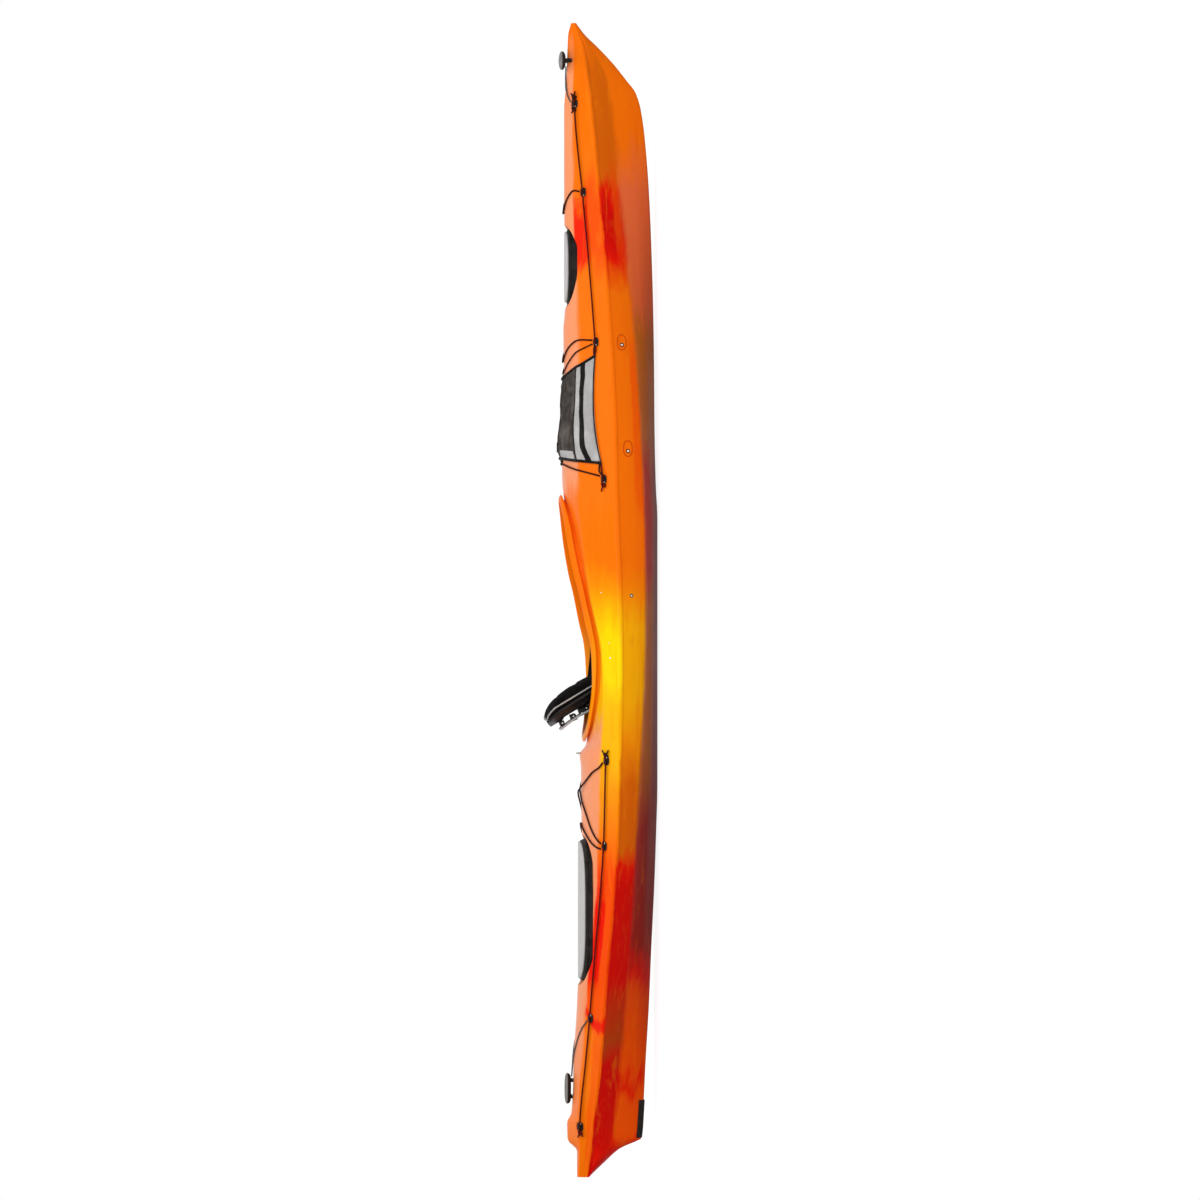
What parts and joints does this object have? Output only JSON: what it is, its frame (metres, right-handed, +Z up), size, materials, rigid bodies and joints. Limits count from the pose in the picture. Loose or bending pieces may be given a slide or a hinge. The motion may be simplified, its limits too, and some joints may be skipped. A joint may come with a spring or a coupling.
{
  "type": "day touring kayak",
  "caption": "Moulded decked kayak with cockpit, high-back seat, foot braces, sealed hatches, deck lines, deck bag and carry handles.",
  "frame": {"origin": "on the keel line at mid length, at the height the boat stands on", "axes": "+X towards the bow, +Y to port, +Z up"},
  "size_m": [4.27, 0.61, 0.4263],
  "materials": {
    "hull_plastic": "rotomoulded polyethylene, orange blended with red and yellow",
    "foam": "closed-cell foam",
    "black_rubber": "moulded rubber",
    "grey_plastic": "fine grained moulded plastic",
    "deck_line": "braided cord, dark red and black",
    "bungee_cord": "braided elastic cord",
    "bag_fabric": "coated woven nylon",
    "seat_fabric": "woven seat cloth over foam",
    "stainless": "stainless steel",
    "aluminium": "anodised extrusion",
    "black_plastic": "moulded nylon"
  },
  "bodies": {
    "boat": {"aft_bungee_bar": "bungee_cord", "aft_bungee_diagonal_high": "bungee_cord", "aft_bungee_diagonal_low": "bungee_cord", "aft_line_port": "deck_line", "aft_line_starboard": "deck_line", "backrest_bracket_port": "black_plastic", "backrest_bracket_starboard": "black_plastic", "backrest_pin": "stainless", "bag_bungee_front": "bungee_cord", "bag_bungee_rear": "bungee_cord", "bow_bulkhead": "foam", "deck_bag": "bag_fabric", "deck_eye_1_port": "black_plastic", "deck_eye_1_starboard": "black_plastic", "deck_eye_2_port": "black_plastic", "deck_eye_2_starboard": "black_plastic", "deck_eye_3_port": "black_plastic", "deck_eye_3_starboard": "black_plastic", "deck_eye_4_port": "black_plastic", "deck_eye_4_starboard": "black_plastic", "deck_eye_5_port": "black_plastic", "deck_eye_5_starboard": "black_plastic", "deck_eye_6_port": "black_plastic", "deck_eye_6_starboard": "black_plastic", "deck_eye_7_port": "black_plastic", "deck_eye_7_starboard": "black_plastic", "deck_eye_8_port": "black_plastic", "deck_eye_8_starboard": "black_plastic", "foot_brace_rail_port": "aluminium", "foot_brace_rail_starboard": "aluminium", "fore_bungee": "bungee_cord", "fore_line_port": "deck_line", "fore_line_starboard": "deck_line", "hull_shell": "hull_plastic", "seat_cushion": "seat_fabric", "seat_pan": "black_plastic", "seat_support_port": "foam", "seat_support_starboard": "foam", "security_eye": "stainless", "skid_plate": "black_plastic", "stern_bulkhead": "foam"},
    "bow_hatch_lid": {"bow_hatch_cover": "black_rubber", "bow_hatch_plate": "grey_plastic"},
    "stern_hatch_lid": {"stern_hatch_cover": "black_rubber", "stern_hatch_plate": "grey_plastic"},
    "bow_handle": {"bow_handle_pad": "black_rubber", "bow_handle_cap": "grey_plastic", "bow_handle_cord": "bungee_cord"},
    "stern_handle": {"stern_handle_pad": "black_rubber", "stern_handle_cap": "grey_plastic", "stern_handle_cord": "bungee_cord"},
    "backrest": {"backrest_frame": "black_plastic", "backrest_cushion": "seat_fabric"},
    "pedal_port": {"foot_pedal_port": "black_plastic"},
    "pedal_starboard": {"foot_pedal_starboard": "black_plastic"},
    "thigh_brace_port": {"thigh_brace_port": "black_plastic"},
    "thigh_brace_starboard": {"thigh_brace_starboard": "black_plastic"}
  },
  "joints": [
    {"name": "bow_hatch_lift", "type": "slide", "parent": "boat", "child": "bow_hatch_lid", "axis": [0, 0, 1], "range_m": [0, 0.12]},
    {"name": "stern_hatch_lift", "type": "slide", "parent": "boat", "child": "stern_hatch_lid", "axis": [0, 0, 1], "range_m": [0, 0.12]},
    {"name": "bow_handle_lift", "type": "hinge", "parent": "boat", "child": "bow_handle", "pos_m": [1.835, 0, 0.3435], "axis": [0, -1, 0], "range_deg": [0, 70]},
    {"name": "stern_handle_lift", "type": "hinge", "parent": "boat", "child": "stern_handle", "pos_m": [-1.543, 0, 0.2988], "axis": [0, 1, 0], "range_deg": [0, 70]},
    {"name": "backrest_recline", "type": "hinge", "parent": "boat", "child": "backrest", "pos_m": [-0.24, 0, 0.1], "axis": [0, 1, 0], "range_deg": [-8, 45]},
    {"name": "pedal_port_slide", "type": "slide", "parent": "boat", "child": "pedal_port", "axis": [0.988, -0.1546, 0], "range_m": [-0.1, 0.16]},
    {"name": "pedal_starboard_slide", "type": "slide", "parent": "boat", "child": "pedal_starboard", "axis": [0.988, 0.1546, 0], "range_m": [-0.1, 0.16]},
    {"name": "thigh_brace_port_slide", "type": "slide", "parent": "boat", "child": "thigh_brace_port", "axis": [0.9817, 0, 0.1902], "range_m": [-0.02, 0.02]},
    {"name": "thigh_brace_starboard_slide", "type": "slide", "parent": "boat", "child": "thigh_brace_starboard", "axis": [0.9817, 0, 0.1902], "range_m": [-0.02, 0.02]}
  ]
}
